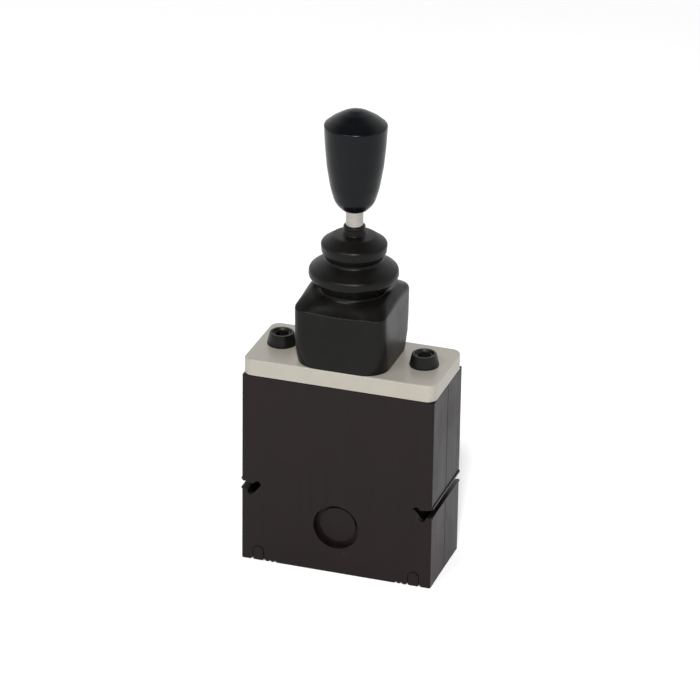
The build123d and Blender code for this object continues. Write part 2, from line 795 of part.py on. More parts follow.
# ---------------------------------------------------------------- knob
rim_height = knob_top - knob_dome
cap_radius = knob_radius - knob_rim_radius
cap_rise = knob_dome + knob_rim_radius / 4
dome_radius = (cap_radius**2 + cap_rise**2) / (2 * cap_rise)
insert_bottom = knob_bottom + insert_start
insert_top = insert_bottom + insert_length
with BuildPart() as knob:
    with BuildSketch(Plane.XZ) as section:
        with BuildLine():
            grip = Spline(
                (knob_foot_radius, knob_bottom),
                (knob_cup_radius, knob_bottom + knob_cup_rise),
                (knob_grip_radius, knob_bottom + knob_grip_rise),
                (knob_belly_radius, knob_bottom + knob_belly_rise),
                (knob_radius, rim_height - knob_rim_radius),
            )
            rim = TangentArc(
                grip @ 1,
                (knob_radius - knob_rim_radius, rim_height - knob_rim_radius / 4),
                tangent=grip % 1,
            )
            RadiusArc(rim @ 1, (0, knob_top), -dome_radius)
            Polyline(
                (0, knob_top),
                (0, insert_top),
                (insert_radius, insert_top),
                (insert_radius, insert_bottom),
                (rod_thread_radius + loose_fit, insert_bottom),
                (rod_thread_radius + loose_fit, knob_bottom),
                grip @ 0,
            )
        make_face()
    revolve(axis=Axis.Z)
save(knob, "knob")

with BuildPart() as knob_insert:
    bar(0, 0, insert_radius, insert_bottom, insert_top)
    stud_hole_end = knob_bottom + stud_length + thread_end_room
    bar(0, 0, rod_thread_radius + running_fit, insert_bottom, stud_hole_end, Mode.SUBTRACT)
save(knob_insert, "knob_insert")


# ---------------------------------------------------------------- boot
def boot_shape(inset, neck):
    """Outer or inner form of the boot: square foot, sloping shoulder, two bellows rings and neck."""
    throat = boot_throat_radius - inset
    levels = (
        (boot_size / 2, boot_foot_corner, plate_top),
        (boot_size / 2, boot_heel_corner, plate_top + boot_heel_rise),
        (boot_size / 2, boot_top_corner, plate_top + boot_straight),
        (boot_brow_size / 2, boot_brow_corner, plate_top + boot_brow_rise),
        (boot_throat_radius, nearly_round * throat + inset, throat_height),
    )
    with BuildPart() as form:
        for lower, upper in zip(levels, levels[1:]):
            for half, corner, height in (lower, upper):
                with BuildSketch(Plane.XY.offset(height)):
                    RectangleRounded(2 * (half - inset), 2 * (half - inset), corner - inset)
            loft()
        with BuildSketch(Plane.XZ) as section:
            with BuildLine():
                Polyline(
                    (0, throat_height - 1),
                    (throat, throat_height - 1),
                    (throat, throat_height),
                    (lower_ring_tip - inset, lower_ring_height),
                    (waist_radius - inset, waist_height),
                    (upper_ring_tip - inset, upper_ring_height),
                    (neck, neck_root),
                    (neck, boot_end),
                    (0, boot_end),
                    close=True,
                )
            make_face()
            rings = section.vertices().sort_by(Axis.X)
            fillet(rings[-1], lower_ring_edge)
            above_waist = section.vertices().filter_by_position(Axis.Y, waist_height + 1, neck_root)
            fillet(above_waist.sort_by(Axis.X)[-1], upper_ring_edge)
        revolve(axis=Axis.Z)
    return form.part


with BuildPart() as boot:
    add(boot_shape(0, boot_neck_radius))
    bar(0, 0, boot_lip_radius, boot_end - boot_lip_height, boot_end)
    add(boot_shape(boot_wall, rod_radius + running_fit), mode=Mode.SUBTRACT)
    bar(0, 0, rod_radius + running_fit, neck_root, boot_end, Mode.SUBTRACT)
save(boot, "boot")
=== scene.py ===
from math import atan2, cos, dist, pi, radians, sin, sqrt, tan

import bmesh
import bpy
from mathutils import Matrix, Vector


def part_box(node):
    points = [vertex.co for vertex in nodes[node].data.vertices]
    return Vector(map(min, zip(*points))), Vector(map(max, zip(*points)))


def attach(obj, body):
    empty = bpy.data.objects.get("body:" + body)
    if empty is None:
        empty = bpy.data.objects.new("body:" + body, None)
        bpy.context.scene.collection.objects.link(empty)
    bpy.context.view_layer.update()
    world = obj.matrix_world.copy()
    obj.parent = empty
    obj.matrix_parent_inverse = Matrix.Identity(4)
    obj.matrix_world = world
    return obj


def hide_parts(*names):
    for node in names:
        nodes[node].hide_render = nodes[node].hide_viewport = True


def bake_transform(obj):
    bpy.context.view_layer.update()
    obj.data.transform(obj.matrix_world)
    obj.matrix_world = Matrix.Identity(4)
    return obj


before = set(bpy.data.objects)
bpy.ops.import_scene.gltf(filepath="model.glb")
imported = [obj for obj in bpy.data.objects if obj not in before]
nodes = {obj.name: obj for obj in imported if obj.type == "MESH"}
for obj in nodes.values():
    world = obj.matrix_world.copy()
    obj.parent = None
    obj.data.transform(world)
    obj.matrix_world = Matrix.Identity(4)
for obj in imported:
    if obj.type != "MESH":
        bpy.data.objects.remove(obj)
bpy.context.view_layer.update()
mm = 0.001


# ---------------------------------------------------------------- camera
def studio_camera():
    """A long lens at the valve's right front, a little above it."""
    place = Vector((502.79, -1539.46, 857.55)) * mm
    azimuth, elevation, roll = radians(18.13), radians(25.01), radians(0.805)
    back = Vector((sin(azimuth) * cos(elevation), -cos(azimuth) * cos(elevation), sin(elevation)))
    level = Vector((cos(azimuth), sin(azimuth), 0))
    upright = back.cross(level)
    right = level * cos(roll) + upright * sin(roll)
    up = upright * cos(roll) - level * sin(roll)
    lens = bpy.data.cameras.new("studio_camera")
    lens.sensor_width = 36
    lens.lens = 205.71
    lens.clip_start, lens.clip_end = 0.05, 40
    camera = bpy.data.objects.new("studio_camera", lens)
    turn = Matrix((right, up, back)).transposed().to_4x4()
    camera.matrix_world = Matrix.Translation(place) @ turn
    bpy.context.scene.collection.objects.link(camera)
    bpy.context.scene.camera = camera
    bpy.context.scene.view_settings.view_transform = "Standard"


# ---------------------------------------------------------------- shader tools
def add(tree, kind, wires=None, **settings):
    """One shader node. wires gives its inputs, each a plain value or the socket that feeds it."""
    made = tree.nodes.new("ShaderNode" + kind)
    for name, value in settings.items():
        setattr(made, name, value)
    for name, value in (wires or {}).items():
        if isinstance(value, bpy.types.NodeSocket):
            tree.links.new(value, made.inputs[name])
        else:
            made.inputs[name].default_value = value
    return made


def calc(tree, operation, *values):
    """The result of one sum on plain values or sockets."""
    return add(tree, "Math", dict(enumerate(values)), operation=operation).outputs[0]


def spread(tree, value, low, high, to_low=0.0, to_high=1.0):
    """A value stretched from one range to another and held inside it."""
    return add(
        tree,
        "MapRange",
        {"Value": value, "From Min": low, "From Max": high, "To Min": to_low, "To Max": to_high},
        interpolation_type="SMOOTHSTEP",
    ).outputs["Result"]


def tint(tree, amount, first, second):
    """A colour between two others."""
    made = add(tree, "Mix", data_type="RGBA")
    # a Mix node's first input is its share, and its seventh and eighth are the colours
    for socket, value in ((made.inputs[0], amount), (made.inputs[6], first), (made.inputs[7], second)):
        if isinstance(value, bpy.types.NodeSocket):
            tree.links.new(value, socket)
        else:
            socket.default_value = (*value, 1) if isinstance(value, tuple) else value
    return made.outputs[2]


def over(tree, tone, mask, share, colour):
    """That colour laid over the tone where the mask is, by that share."""
    return tint(tree, calc(tree, "MULTIPLY", mask, share), tone, colour)


def effect(name, inputs, outputs):
    """An empty node group with named number inputs and outputs: the group, its entry and its exit."""
    tree = bpy.data.node_groups.new(name, "ShaderNodeTree")
    for label, value in inputs.items():
        socket = tree.interface.new_socket(label, in_out="INPUT", socket_type="NodeSocketFloat")
        socket.default_value = value
    for label in outputs:
        tree.interface.new_socket(label, in_out="OUTPUT", socket_type="NodeSocketFloat")
    entry = tree.nodes.new("NodeGroupInput")
    leave = tree.nodes.new("NodeGroupOutput")
    return tree, entry.outputs, leave.inputs


def stretched_place(tree, x, y, z):
    """The place on the piece, with each axis stretched by its own factor."""
    place = add(tree, "TexCoord").outputs["Object"]
    return add(tree, "Mapping", {"Vector": place, "Scale": (x, y, z)}).outputs["Vector"]


def make_grain():
    """Fine moulded skin and slow cloudy change over the surface."""
    tree, entry, leave = effect("moulded_grain", {"Grain": 1800.0, "Cloud": 60.0}, ("Height", "Cloud"))
    place = stretched_place(tree, 1, 1, 1)
    skin = add(tree, "TexNoise", {"Vector": place, "Scale": entry["Grain"], "Detail": 3.0, "Roughness": 0.6})
    pits = add(
        tree,
        "TexVoronoi",
        {"Vector": place, "Scale": entry["Grain"], "Randomness": 1.0},
        feature="SMOOTH_F1",
    )
    both = calc(tree, "MULTIPLY_ADD", pits.outputs["Distance"], 0.6, skin.outputs["Fac"])
    tree.links.new(both, leave["Height"])
    slow = add(tree, "TexNoise", {"Vector": place, "Scale": entry["Cloud"], "Detail": 4.0, "Roughness": 0.55})
    tree.links.new(spread(tree, slow.outputs["Fac"], 0.3, 0.7), leave["Cloud"])
    return tree


def make_edge_wear_and_highlight():
    """Where the surface turns over an edge, broken up as real rubbing is; the boot's finish also uses it for
    a painted highlight along its edges.
    """
    tree, entry, leave = effect("edge_wear_and_highlight", {"Width": 0.0006, "Break Up": 400.0, "Amount": 1.0}, ("Mask",))
    rounded = add(tree, "Bevel", {"Radius": entry["Width"]}, samples=6).outputs["Normal"]
    flat = add(tree, "NewGeometry").outputs["Normal"]
    turned = add(tree, "VectorMath", {0: rounded, 1: flat}, operation="DOT_PRODUCT").outputs["Value"]
    edge = spread(tree, calc(tree, "SUBTRACT", 1.0, turned), 0.02, 0.22)
    place = stretched_place(tree, 1, 1, 1)
    noise = {"Vector": place, "Scale": entry["Break Up"], "Detail": 4.0, "Roughness": 0.7}
    patch = add(tree, "TexNoise", noise)
    broken = calc(tree, "MULTIPLY", edge, spread(tree, patch.outputs["Fac"], 0.38, 0.62, 0.15, 1.0))
    tree.links.new(calc(tree, "MULTIPLY", broken, entry["Amount"]), leave["Mask"])
    return tree


def make_scuffs():
    """A few small pale rubs and nicks, far apart."""
    tree, entry, leave = effect("scuffs", {"Spacing": 90.0, "Size": 0.06, "Share": 0.25}, ("Mask",))
    place = stretched_place(tree, 1, 1, 0.55)
    bend = add(tree, "TexNoise", {"Vector": place, "Scale": 700.0, "Detail": 2.0}).outputs["Color"]
    pushed = add(tree, "VectorMath", {0: bend, 1: (0.0022, 0.0022, 0.0022)}, operation="MULTIPLY").outputs[0]
    moved = add(tree, "VectorMath", {0: place, 1: pushed}, operation="ADD").outputs[0]
    cells = add(tree, "TexVoronoi", {"Vector": moved, "Scale": entry["Spacing"], "Randomness": 1.0})
    near = calc(tree, "DIVIDE", cells.outputs["Distance"], entry["Size"])
    dot = spread(tree, near, 1.0, 0.5)
    draw = add(tree, "SeparateColor", {0: cells.outputs["Color"]}).outputs[0]
    chosen = calc(tree, "LESS_THAN", draw, entry["Share"])
    tree.links.new(calc(tree, "MULTIPLY", dot, chosen), leave["Mask"])
    return tree


def make_dust():
    """Thin settled dust, most on faces that look up."""
    tree, entry, leave = effect("settled_dust", {"Amount": 0.3, "Patch": 140.0}, ("Mask",))
    facing = add(tree, "SeparateXYZ", {0: add(tree, "NewGeometry").outputs["Normal"]}).outputs["Z"]
    up = spread(tree, facing, 0.2, 1.0)
    place = stretched_place(tree, 1, 1, 1)
    noise = {"Vector": place, "Scale": entry["Patch"], "Detail": 6.0, "Roughness": 0.65}
    patch = add(tree, "TexNoise", noise)
    lying = calc(tree, "MULTIPLY", up, spread(tree, patch.outputs["Fac"], 0.42, 0.75))
    tree.links.new(calc(tree, "MULTIPLY", lying, entry["Amount"]), leave["Mask"])
    return tree


def make_turned_lines():
    """Fine lines left round the upright axis by turning and polishing."""
    tree, entry, leave = effect("turned_lines", {"Pitch": 2600.0}, ("Height", "Streak"))
    fine = stretched_place(tree, 0.03, 0.03, 1.0)
    lines = add(tree, "TexNoise", {"Vector": fine, "Scale": entry["Pitch"], "Detail": 3.0, "Roughness": 0.7})
    tree.links.new(lines.outputs["Fac"], leave["Height"])
    tree.links.new(spread(tree, lines.outputs["Fac"], 0.35, 0.65), leave["Streak"])
    return tree


def make_milled_lines():
    """Arcs left across a face by a milling cutter."""
    tree, entry, leave = effect("milled_lines", {"Pitch": 900.0}, ("Height", "Streak"))
    place = stretched_place(tree, 1, 1, 1)
    bend = add(tree, "TexNoise", {"Vector": place, "Scale": 25.0, "Detail": 1.0}).outputs["Fac"]
    wave = add(
        tree,
        "TexWave",
        {"Vector": place, "Scale": entry["Pitch"], "Distortion": 1.6, "Detail": 2.0, "Detail Scale": 0.4},
        wave_type="RINGS",
    )
    tree.links.new(wave.outputs["Fac"], leave["Height"])
    tree.links.new(calc(tree, "MULTIPLY", wave.outputs["Fac"], bend), leave["Streak"])
    return tree


effects = {
    "grain": make_grain(),
    "wear": make_edge_wear_and_highlight(),
    "scuffs": make_scuffs(),
    "dust": make_dust(),
    "turned": make_turned_lines(),
    "milled": make_milled_lines(),
}


def use(tree, name, **inputs):
    """One of the shared effects, placed in a material with its own values."""
    made = add(tree, "Group")
    made.node_tree = effects[name]
    for label, value in inputs.items():
        made.inputs[label.replace("_", " ")].default_value = value
    return made.outputs


def material(name):
    """A new material: its tree and its main shader."""
    made = bpy.data.materials.new(name)
    made.use_nodes = True
    return made, made.node_tree, made.node_tree.nodes["Principled BSDF"]


def feed(tree, shader, **inputs):
    """Values and sockets to the main shader, by the names of its inputs."""
    for label, value in inputs.items():
        socket = shader.inputs[label.replace("_", " ")]
        if isinstance(value, bpy.types.NodeSocket):
            tree.links.new(value, socket)
        else:
            socket.default_value = value


def relief(tree, height, depth, below=None):
    """A bumped normal, depth in metres."""
    wires = {"Height": height, "Distance": depth, "Strength": 1.0}
    if below is not None:
        wires["Normal"] = below
    return add(tree, "Bump", wires).outputs["Normal"]


# ---------------------------------------------------------------- finishes
def casing_plastic():
    """Dark brown-black glass-filled moulding, slightly streaked along its height and rubbed at the edges."""
    made, tree, shader = material("casing_plastic")
    grain = use(tree, "grain", Grain=2100.0, Cloud=34.0)
    wear = use(tree, "wear", Width=0.0007, Break_Up=260.0, Amount=0.55)["Mask"]
    rubs = use(tree, "scuffs", Spacing=52.0, Size=0.08, Share=0.3)["Mask"]
    dust = use(tree, "dust", Amount=0.25, Patch=160.0)["Mask"]
    flow = add(
        tree,
        "TexNoise",
        {"Vector": stretched_place(tree, 1, 1, 0.02), "Scale": 330.0, "Detail": 3.0, "Roughness": 0.6},
    ).outputs["Fac"]
    streak = spread(tree, flow, 0.35, 0.65)
    tone = tint(tree, grain["Cloud"], (0.0040, 0.0013, 0.0012), (0.0056, 0.0015, 0.0013))
    tone = over(tree, tone, streak, 0.16, (0.0085, 0.0060, 0.0056))
    tone = over(tree, tone, wear, 0.4, (0.040, 0.035, 0.032))
    tone = over(tree, tone, rubs, 0.4, (0.110, 0.102, 0.096))
    tone = over(tree, tone, dust, 0.2, (0.16, 0.15, 0.14))
    gloss = spread(tree, grain["Cloud"], 0.0, 1.0, 0.40, 0.47)
    gloss = calc(tree, "ADD", gloss, calc(tree, "MULTIPLY", streak, 0.05))
    gloss = calc(tree, "ADD", gloss, calc(tree, "MULTIPLY", rubs, 0.2))
    feed(
        tree,
        shader,
        Base_Color=tone,
        Roughness=gloss,
        Normal=relief(tree, grain["Height"], 0.00003),
        Specular_IOR_Level=0.205,
    )
    return made


def plate_finish():
    """Warm light grey satin paint on the cast flange plate, with specks and slightly bare edges."""
    made, tree, shader = material("plate_finish")
    grain = use(tree, "grain", Grain=1300.0, Cloud=45.0)
    wear = use(tree, "wear", Width=0.0005, Break_Up=500.0, Amount=0.5)["Mask"]
    specks = use(tree, "scuffs", Spacing=120.0, Size=0.07, Share=0.22)["Mask"]
    dust = use(tree, "dust", Amount=0.35, Patch=240.0)["Mask"]
    tone = tint(tree, grain["Cloud"], (0.280, 0.262, 0.224), (0.308, 0.286, 0.244))
    tone = over(tree, tone, dust, 0.35, (0.26, 0.248, 0.218))
    tone = over(tree, tone, specks, 0.6, (0.66, 0.64, 0.58))
    tone = over(tree, tone, wear, 0.4, (0.46, 0.44, 0.40))
    gloss = spread(tree, grain["Cloud"], 0.0, 1.0, 0.30, 0.38)
    gloss = calc(tree, "ADD", gloss, calc(tree, "MULTIPLY", specks, 0.25))
    feed(
        tree,
        shader,
        Base_Color=tone,
        Roughness=gloss,
        Normal=relief(tree, grain["Height"], 0.00002),
        Specular_IOR_Level=0.5,
    )
    return made


def boot_rubber():
    """Black moulded rubber: a soft skin with faint bloom on its folds, and pale edges that are partly rubbing
    and partly a painted highlight along the ridge and the ring lips.
    """
    made, tree, shader = material("boot_rubber")
    grain = use(tree, "grain", Grain=1500.0, Cloud=70.0)
    wear = use(tree, "wear", Width=0.0013, Break_Up=320.0, Amount=0.75)["Mask"]
    marks = use(tree, "scuffs", Spacing=85.0, Size=0.05, Share=0.22)["Mask"]
    dust = use(tree, "dust", Amount=0.2, Patch=190.0)["Mask"]
    tone = tint(tree, grain["Cloud"], (0.0036, 0.0033, 0.0030), (0.0050, 0.0045, 0.0042))
    # pale edge line: partly rubbed rubber, partly a painted highlight along the ridge and the ring lips
    tone = over(tree, tone, wear, 0.6, (0.036, 0.034, 0.032))
    tone = over(tree, tone, dust, 0.12, (0.06, 0.058, 0.055))
    tone = over(tree, tone, marks, 0.3, (0.06, 0.058, 0.056))
    gloss = spread(tree, grain["Cloud"], 0.0, 1.0, 0.31, 0.39)
    feed(
        tree,
        shader,
        Base_Color=tone,
        Roughness=gloss,
        Normal=relief(tree, grain["Height"], 0.00004),
        Specular_IOR_Level=0.13,
    )
    return made


def knob_plastic():
    """Black knob moulding, polished by the hand and cooler in tone than the casing."""
    made, tree, shader = material("knob_plastic")
    grain = use(tree, "grain", Grain=1700.0, Cloud=55.0)
    wear = use(tree, "wear", Width=0.0010, Break_Up=300.0, Amount=0.4)["Mask"]
    marks = use(tree, "scuffs", Spacing=110.0, Size=0.045, Share=0.2)["Mask"]
    dust = use(tree, "dust", Amount=0.15, Patch=220.0)["Mask"]
    tone = tint(tree, grain["Cloud"], (0.0014, 0.0021, 0.0028), (0.0024, 0.0032, 0.0040))
    tone = over(tree, tone, wear, 0.3, (0.012, 0.013, 0.014))
    tone = over(tree, tone, dust, 0.12, (0.05, 0.05, 0.05))
    tone = over(tree, tone, marks, 0.3, (0.05, 0.05, 0.053))
    gloss = spread(tree, grain["Cloud"], 0.0, 1.0, 0.24, 0.33)
    feed(
        tree,
        shader,
        Base_Color=tone,
        Roughness=gloss,
        Normal=relief(tree, grain["Height"], 0.000018),
        Specular_IOR_Level=0.15,
    )
    return made


def bright_steel():
    """Ground and polished steel of the lever rod, pin and spools."""
    made, tree, shader = material("bright_steel")
    lines = use(tree, "turned", Pitch=2600.0)
    grain = use(tree, "grain", Grain=900.0, Cloud=120.0)
    wear = use(tree, "wear", Width=0.0004, Break_Up=900.0, Amount=0.5)["Mask"]
    tone = tint(tree, lines["Streak"], (0.30, 0.285, 0.26), (0.37, 0.35, 0.325))
    tone = over(tree, tone, grain["Cloud"], 0.3, (0.27, 0.25, 0.225))
    tone = tint(tree, wear, tone, (0.70, 0.69, 0.67))
    gloss = spread(tree, lines["Streak"], 0.0, 1.0, 0.15, 0.23)
    feed(
        tree,
        shader,
        Base_Color=tone,
        Metallic=1.0,
        Roughness=gloss,
        Normal=relief(tree, lines["Height"], 0.000004),
    )
    return made


def black_steel():
    """Black oxide on hard screws and clips, worn to grey on the rims."""
    made, tree, shader = material("black_steel")
    grain = use(tree, "grain", Grain=2600.0, Cloud=260.0)
    wear = use(tree, "wear", Width=0.00035, Break_Up=900.0, Amount=0.8)["Mask"]
    dust = use(tree, "dust", Amount=0.3, Patch=420.0)["Mask"]
    tone = tint(tree, grain["Cloud"], (0.0045, 0.0046, 0.0042), (0.0085, 0.0085, 0.0076))
    tone = over(tree, tone, dust, 0.15, (0.08, 0.076, 0.068))
    tone = over(tree, tone, wear, 0.45, (0.12, 0.117, 0.110))
    gloss = spread(tree, grain["Cloud"], 0.0, 1.0, 0.30, 0.44)
    feed(
        tree,
        shader,
        Base_Color=tone,
        Metallic=0.2,
        Roughness=gloss,
        Normal=relief(tree, grain["Height"], 0.00002),
        Specular_IOR_Level=0.22,
    )
    return made


def block_metal():
    """Machined grey iron of the valve block, with cutter marks and a thin oil stain."""
    made, tree, shader = material("block_metal")
    grain = use(tree, "grain", Grain=1100.0, Cloud=75.0)
    lines = use(tree, "milled", Pitch=420.0)
    wear = use(tree, "wear", Width=0.0005, Break_Up=500.0, Amount=0.7)["Mask"]
    tone = tint(tree, grain["Cloud"], (0.22, 0.22, 0.225), (0.30, 0.30, 0.30))
    tone = over(tree, tone, lines["Streak"], 0.5, (0.40, 0.40, 0.395))
    tone = over(tree, tone, wear, 0.6, (0.52, 0.52, 0.51))
    gloss = spread(tree, grain["Cloud"], 0.0, 1.0, 0.34, 0.50)
    skin = relief(tree, grain["Height"], 0.000025)
    feed(
        tree,
        shader,
        Base_Color=tone,
        Metallic=0.9,
        Roughness=gloss,
        Normal=relief(tree, lines["Height"], 0.000008, skin),
    )
    return made


def zinc_steel():
    """Zinc plate with a faint blue and yellow cast."""
    made, tree, shader = material("zinc_steel")
    grain = use(tree, "grain", Grain=1500.0, Cloud=300.0)
    lines = use(tree, "turned", Pitch=1500.0)
    wear = use(tree, "wear", Width=0.0004, Break_Up=700.0, Amount=0.6)["Mask"]
    tone = tint(tree, grain["Cloud"], (0.46, 0.48, 0.51), (0.58, 0.57, 0.52))
    tone = over(tree, tone, wear, 0.6, (0.74, 0.73, 0.70))
    gloss = spread(tree, grain["Cloud"], 0.0, 1.0, 0.26, 0.40)
    feed(
        tree,
        shader,
        Base_Color=tone,
        Metallic=1.0,
        Roughness=gloss,
        Normal=relief(tree, lines["Height"], 0.000005),
    )
    return made


def spring_steel():
    """Drawn spring wire, blued by its heat treatment."""
    made, tree, shader = material("spring_steel")
    grain = use(tree, "grain", Grain=2400.0, Cloud=420.0)
    wear = use(tree, "wear", Width=0.0002, Break_Up=1200.0, Amount=0.4)["Mask"]
    tone = tint(tree, grain["Cloud"], (0.16, 0.17, 0.20), (0.27, 0.25, 0.22))
    tone = over(tree, tone, wear, 0.5, (0.5, 0.49, 0.47))
    gloss = spread(tree, grain["Cloud"], 0.0, 1.0, 0.25, 0.38)
    feed(
        tree,
        shader,
        Base_Color=tone,
        Metallic=1.0,
        Roughness=gloss,
        Normal=relief(tree, grain["Height"], 0.000012),
    )
    return made


def bush_bronze():
    """Sintered bronze, open-grained and dulled by oil."""
    made, tree, shader = material("bush_bronze")
    grain = use(tree, "grain", Grain=1900.0, Cloud=210.0)
    wear = use(tree, "wear", Width=0.0004, Break_Up=700.0, Amount=0.6)["Mask"]
    tone = tint(tree, grain["Cloud"], (0.44, 0.27, 0.12), (0.56, 0.37, 0.18))
    tone = over(tree, tone, wear, 0.6, (0.72, 0.52, 0.28))
    gloss = spread(tree, grain["Cloud"], 0.0, 1.0, 0.30, 0.46)
    feed(
        tree,
        shader,
        Base_Color=tone,
        Metallic=1.0,
        Roughness=gloss,
        Normal=relief(tree, grain["Height"], 0.00003),
    )
    return made


def seal_rubber():
    """Soft black seal rubber with a film of oil."""
    made, tree, shader = material("seal_rubber")
    grain = use(tree, "grain", Grain=2200.0, Cloud=380.0)
    tone = tint(tree, grain["Cloud"], (0.008, 0.008, 0.009), (0.018, 0.017, 0.016))
    gloss = spread(tree, grain["Cloud"], 0.0, 1.0, 0.22, 0.42)
    feed(
        tree,
        shader,
        Base_Color=tone,
        Roughness=gloss,
        Normal=relief(tree, grain["Height"], 0.00002),
    )
    return made


finishes = {
    "casing": casing_plastic(),
    "plate": plate_finish(),
    "boot": boot_rubber(),
    "seal": seal_rubber(),
    "knob": knob_plastic(),
    "block": block_metal(),
    "black_steel": black_steel(),
    "bright_steel": bright_steel(),
    "zinc_steel": zinc_steel(),
    "spring_steel": spring_steel(),
    "bronze": bush_bronze(),
}


def dress_cad_nodes():
    """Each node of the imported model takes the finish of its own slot, and the seals take their own."""
    for name, node in nodes.items():
        for place in node.material_slots:
            slot = place.material.name.split(".")[0]
            place.material = finishes["seal" if "seal" in name else slot]


# ---------------------------------------------------------------- mesh tools, in mm
around = 128              # points round each ring of a mesh
corner_steps = 12         # short flats that make one rounded corner
most_of_run = 0.48        # share of a straight run that one rounded corner may take


def softened(points):
    """An outline whose corners are rounded, each by its own radius, as a run of close points."""
    made = []
    for index, (r, z, radius) in enumerate(points):
        if radius <= 0 or index in (0, len(points) - 1):
            made.append((r, z))
            continue
        corner = Vector((r, z))
        before = Vector(points[index - 1][:2]) - corner
        after = Vector(points[index + 1][:2]) - corner
        half = before.angle(after) / 2
        reach = min(radius / tan(half), most_of_run * before.length, most_of_run * after.length)
        first = corner + before.normalized() * reach
        last = corner + after.normalized() * reach
        radius = reach * tan(half)
        inward = (before.normalized() + after.normalized()).normalized()
        middle = corner + inward * (radius / sin(half))
        start = atan2(first.y - middle.y, first.x - middle.x)
        sweep = atan2(last.y - middle.y, last.x - middle.x) - start
        sweep = (sweep + pi) % (2 * pi) - pi
        for step in range(corner_steps + 1):
            angle = start + sweep * step / corner_steps
            made.append((middle.x + radius * cos(angle), middle.y + radius * sin(angle)))
    return made


def level_ring(shape, radius, height, count=around):
    """A level ring of points round the lever's axis."""
    ring = []
    for step in range(count):
        angle = 2 * pi * step / count
        ring.append(shape.verts.new((radius * cos(angle) * mm, radius * sin(angle) * mm, height * mm)))
    return ring


def skin(shape, rings):
    """Faces from each ring of points to the next."""
    for lower, upper in zip(rings, rings[1:]):
        for step in range(len(lower)):
            after = (step + 1) % len(lower)
            shape.faces.new((lower[step], lower[after], upper[after], upper[step]))


def smooth_piece(shape, name, finish):
    """The mesh as a smooth piece in that finish, which has its slot's name."""
    mesh = bpy.data.meshes.new(name)
    shape.to_mesh(mesh)
    shape.free()
    for face in mesh.polygons:
        face.use_smooth = True
    mesh.materials.append(finishes[finish])
    piece = bpy.data.objects.new(name, mesh)
    bpy.context.scene.collection.objects.link(piece)
    return piece


# ---------------------------------------------------------------- boot, heights above its foot
boot_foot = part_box("boot")[0][2] / mm
ridge_rise = 28.9
throat_rise = 32.0
arch_start = 11.8         # above this the sides turn towards the arched ridge
opening_start = 28.5      # above this the corners open towards the round throat
opening_growth = 1.3
ridge_turns = (1.1, 4.6)  # rounding of the ridge at the front and at the ends
# the boot's side from foot to collar: half width or radius, height, rounding of that corner
boot_side = (
    (20.75, 0.0, 0.0),
    (20.9, ridge_rise, 0.0),
    (13.5, throat_rise, 1.4),
    (20.15, 39.0, 2.2),
    (19.95, 42.2, 2.0),
    (16.9, 44.3, 4.0),
    (12.3, 46.8, 1.3),
    (14.5, 50.5, 1.5),
    (14.85, 54.5, 1.9),
    (9.6, 58.1, 3.2),
    (5.1, 58.6, 0.8),
    (4.8, 61.2, 0.2),
    (4.95, 61.6, 0.2),
    (4.85, 62.85, 0.45),
    (3.95, 62.7, 0.0),
)
# corner radius of the square part, from the foot up: height, radius
boot_corners = ((0.0, 10.6), (3.8, 8.0), (8.3, 5.8), (15.8, 5.0), (ridge_rise, 4.8))
boot_side_arch = 2.4      # ridge up at the two ends of the valve
boot_front_sag = 1.1      # ridge down at front and rear
boot_lean = 0.08          # ridge up for each mm towards the rear
boot_brow = 1.5           # fullness of the shoulder at the corners and ends
rear_softness = 1.2       # how far the rear takes the rounder ridge of the ends
boot_shift = -0.5         # the square part sits a little to the left of the lever
boot_stretch = 1.015      # and is a little longer along the valve than across it
boot_wall = 1.4
boot_step = 0.8           # longest step between two levels
nearly_round = 0.9999     # corner radius of a round level, as a share of its half width


def rounded_square(half, corner, angle):
    """The point of a rounded square at that angle from +X."""
    c, s = cos(angle), sin(angle)
    reach = half / max(abs(c), abs(s))
    x, y = abs(reach * c), abs(reach * s)
    flat = half - corner
    if x <= flat or y <= flat:
        return reach * c, reach * s
    # the ray meets the corner's arc: solve |t d - centre| = corner
    dot = flat * (abs(c) + abs(s))
    t = dot + sqrt(max(dot * dot - (2 * flat * flat - corner * corner), 0.0))
    return t * c, t * s


def between(table, value):
    """A value read from a table of pairs, straight between its lines."""
    for (low, first), (high, last) in zip(table, table[1:]):
        if value <= high:
            return first + (last - first) * max(0.0, (value - low) / (high - low))
    return table[-1][1]


def eased(value):
    """0 to 1 with a soft start and end."""
    value = max(0.0, min(1.0, value))
    return value * value * (3 - 2 * value)


def boot_level(first, after, part):
    """One level, part way along a run of the side: half width, corner radius, height, share of the arch."""
    half = first[0] + (after[0] - first[0]) * part
    rise = first[1] + (after[1] - first[1]) * part
    if rise >= throat_rise:
        return half, half, rise, 0.0
    opening = max(0.0, (rise - opening_start) / (throat_rise - opening_start))
    corner = between(boot_corners, rise) + (half - boot_corners[-1][1]) * opening**opening_growth
    arch = min(
        eased((rise - arch_start) / (ridge_rise - arch_start)),
        1 - eased((rise - ridge_rise) / (throat_rise - ridge_rise)),
    )
    return half, min(corner, half), rise, arch


def boot_loops():
    """Level by level from foot to collar, each as two levels: the front's, and that of the ends."""
    front, end = (
        softened([(r, rise, turn if rise == ridge_rise else rounding) for r, rise, rounding in boot_side])
        for turn in ridge_turns
    )
    loops = []
    for run in zip(front, front[1:] + front[-1:], end, end[1:] + end[-1:]):
        steps = max(1, int(max(dist(*run[:2]), dist(*run[2:])) / boot_step))
        for step in range(steps):
            loops.append((boot_level(*run[:2], step / steps), boot_level(*run[2:], step / steps)))
    return loops


